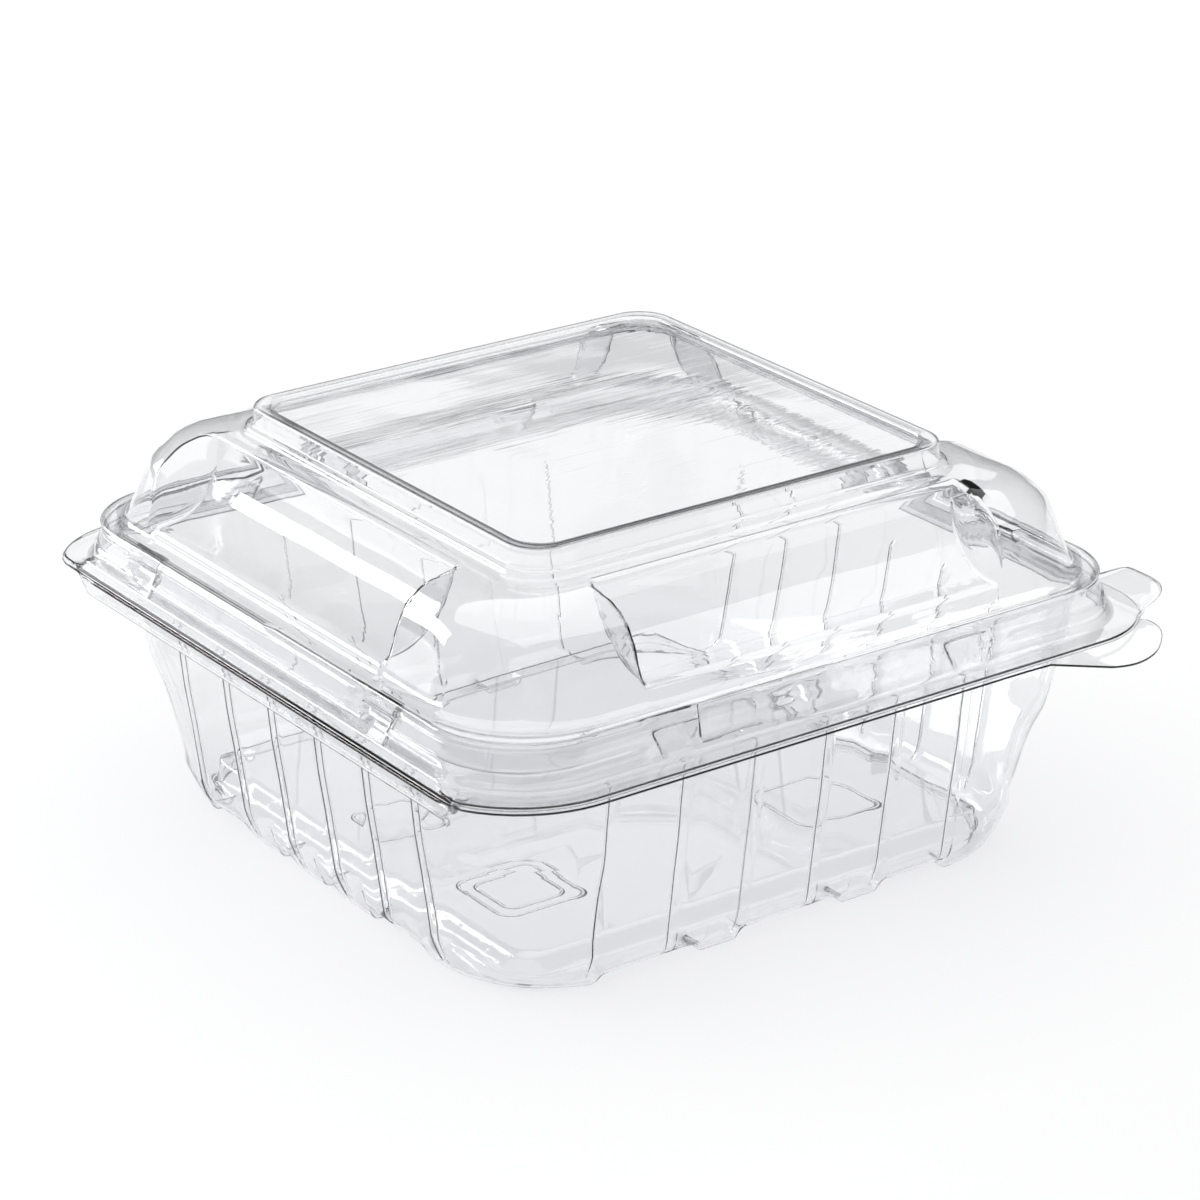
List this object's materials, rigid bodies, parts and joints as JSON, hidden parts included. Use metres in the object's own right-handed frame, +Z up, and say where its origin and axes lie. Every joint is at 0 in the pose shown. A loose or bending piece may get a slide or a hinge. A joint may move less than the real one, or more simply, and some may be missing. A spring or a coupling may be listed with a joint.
{
  "type": "hinged clear plastic food pack",
  "caption": "Square clear plastic clamshell food pack with a hinged domed lid, finger tabs, ribbed walls and a raised stacking top.",
  "frame": {"origin": "on the ground under the middle of the closed pack's whole outline, finger tabs included", "axes": "+Z up, +Y towards the hinge, +X along the hinge; the finger tabs are at the corner towards -X and -Y"},
  "size_m": [0.1652, 0.162, 0.0814],
  "materials": {
    "clear_sheet": "glossy"
  },
  "bodies": {
    "tray": {"tray": "clear_sheet"},
    "lid": {"lid": "clear_sheet"}
  },
  "joints": [
    {"name": "lid_hinge", "type": "hinge", "parent": "tray", "child": "lid", "pos_m": [0.00259, 0.08114, 0.048], "axis": [-1, 0, 0], "range_deg": [0, 180]}
  ]
}
